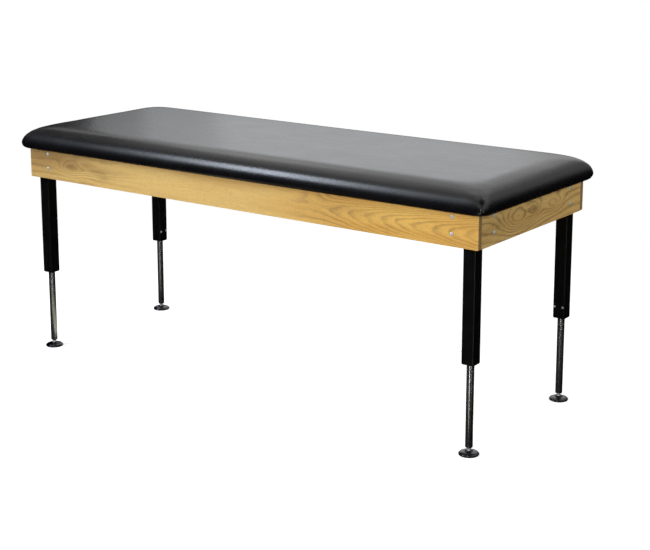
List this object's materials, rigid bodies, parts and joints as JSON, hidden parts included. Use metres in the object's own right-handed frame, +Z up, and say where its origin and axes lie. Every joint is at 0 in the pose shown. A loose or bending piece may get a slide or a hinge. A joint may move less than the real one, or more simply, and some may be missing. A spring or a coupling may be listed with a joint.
{
  "type": "treatment table",
  "caption": "Padded treatment table on an oak rail frame, with telescoping square-tube legs, clamp bushes and ball-jointed levelling glides.",
  "frame": {"origin": "on the floor, under the middle of the table", "axes": "+X along the table's length, +Y from its front side to its back, +Z up"},
  "size_m": [2.049, 0.766, 0.8816],
  "materials": {
    "cover_vinyl": "smooth black upholstery vinyl, satin",
    "foam": "cut polyurethane foam",
    "plywood": "sanded plywood",
    "oak": "clear-lacquered solid oak",
    "black_steel": "black powder coat on welded steel",
    "nylon": "moulded black nylon",
    "chrome": "bright chrome plate",
    "zinc_steel": "bright zinc plate",
    "rubber": "moulded black rubber"
  },
  "bodies": {
    "table": {"vinyl_cover": "cover_vinyl", "foam_pad": "foam", "plywood_deck": "plywood", "front_rail": "oak", "right_end_rail": "oak", "back_rail": "oak", "left_end_rail": "oak", "cross_stretcher": "oak", "leg_tube_front_left": "black_steel", "leg_tube_front_right": "black_steel", "leg_tube_back_right": "black_steel", "leg_tube_back_left": "black_steel", "clamp_bush_front_left": "nylon", "clamp_bush_front_right": "nylon", "clamp_bush_back_right": "nylon", "clamp_bush_back_left": "nylon", "rail_bolt_front_left_1": "zinc_steel", "rail_bolt_front_left_2": "zinc_steel", "rail_bolt_front_left_3": "zinc_steel", "rail_bolt_front_left_4": "zinc_steel", "rail_bolt_front_right_1": "zinc_steel", "rail_bolt_front_right_2": "zinc_steel", "rail_bolt_front_right_3": "zinc_steel", "rail_bolt_front_right_4": "zinc_steel", "rail_bolt_back_right_1": "zinc_steel", "rail_bolt_back_right_2": "zinc_steel", "rail_bolt_back_right_3": "zinc_steel", "rail_bolt_back_right_4": "zinc_steel", "rail_bolt_back_left_1": "zinc_steel", "rail_bolt_back_left_2": "zinc_steel", "rail_bolt_back_left_3": "zinc_steel", "rail_bolt_back_left_4": "zinc_steel", "clamp_screw_front_left_1": "zinc_steel", "clamp_screw_front_left_2": "zinc_steel", "clamp_screw_front_right_1": "zinc_steel", "clamp_screw_front_right_2": "zinc_steel", "clamp_screw_back_right_1": "zinc_steel", "clamp_screw_back_right_2": "zinc_steel", "clamp_screw_back_left_1": "zinc_steel", "clamp_screw_back_left_2": "zinc_steel"},
    "post_front_left": {"post_front_left": "chrome", "post_insert_front_left": "chrome"},
    "post_front_right": {"post_front_right": "chrome", "post_insert_front_right": "chrome"},
    "post_back_right": {"post_back_right": "chrome", "post_insert_back_right": "chrome"},
    "post_back_left": {"post_back_left": "chrome", "post_insert_back_left": "chrome"},
    "stem_front_left": {"levelling_stem_front_left": "zinc_steel"},
    "stem_front_right": {"levelling_stem_front_right": "zinc_steel"},
    "stem_back_right": {"levelling_stem_back_right": "zinc_steel"},
    "stem_back_left": {"levelling_stem_back_left": "zinc_steel"},
    "glide_front_left": {"glide_cap_front_left": "chrome", "glide_pad_front_left": "rubber"},
    "glide_front_right": {"glide_cap_front_right": "chrome", "glide_pad_front_right": "rubber"},
    "glide_back_right": {"glide_cap_back_right": "chrome", "glide_pad_back_right": "rubber"},
    "glide_back_left": {"glide_cap_back_left": "chrome", "glide_pad_back_left": "rubber"}
  },
  "joints": [
    {"name": "post_slide_front_left", "type": "slide", "parent": "table", "child": "post_front_left", "axis": [0, 0, 1], "range_m": [-0.0508, 0.254]},
    {"name": "post_slide_front_right", "type": "slide", "parent": "table", "child": "post_front_right", "axis": [0, 0, 1], "range_m": [-0.0508, 0.254]},
    {"name": "post_slide_back_right", "type": "slide", "parent": "table", "child": "post_back_right", "axis": [0, 0, 1], "range_m": [-0.0508, 0.254]},
    {"name": "post_slide_back_left", "type": "slide", "parent": "table", "child": "post_back_left", "axis": [0, 0, 1], "range_m": [-0.0508, 0.254]},
    {"name": "stem_level_front_left", "type": "slide", "parent": "post_front_left", "child": "stem_front_left", "axis": [0, 0, 1], "range_m": [-0.019, 0.0016]},
    {"name": "stem_level_front_right", "type": "slide", "parent": "post_front_right", "child": "stem_front_right", "axis": [0, 0, 1], "range_m": [-0.019, 0.0016]},
    {"name": "stem_level_back_right", "type": "slide", "parent": "post_back_right", "child": "stem_back_right", "axis": [0, 0, 1], "range_m": [-0.019, 0.0016]},
    {"name": "stem_level_back_left", "type": "slide", "parent": "post_back_left", "child": "stem_back_left", "axis": [0, 0, 1], "range_m": [-0.019, 0.0016]},
    {"name": "glide_tilt_front_left", "type": "hinge", "parent": "stem_front_left", "child": "glide_front_left", "pos_m": [-0.9458, -0.3108, 0.011], "axis": [1, 0, 0], "range_deg": [-8, 8]},
    {"name": "glide_tilt_front_right", "type": "hinge", "parent": "stem_front_right", "child": "glide_front_right", "pos_m": [0.9458, -0.3108, 0.011], "axis": [1, 0, 0], "range_deg": [-8, 8]},
    {"name": "glide_tilt_back_right", "type": "hinge", "parent": "stem_back_right", "child": "glide_back_right", "pos_m": [0.9458, 0.3108, 0.011], "axis": [1, 0, 0], "range_deg": [-8, 8]},
    {"name": "glide_tilt_back_left", "type": "hinge", "parent": "stem_back_left", "child": "glide_back_left", "pos_m": [-0.9458, 0.3108, 0.011], "axis": [1, 0, 0], "range_deg": [-8, 8]}
  ]
}
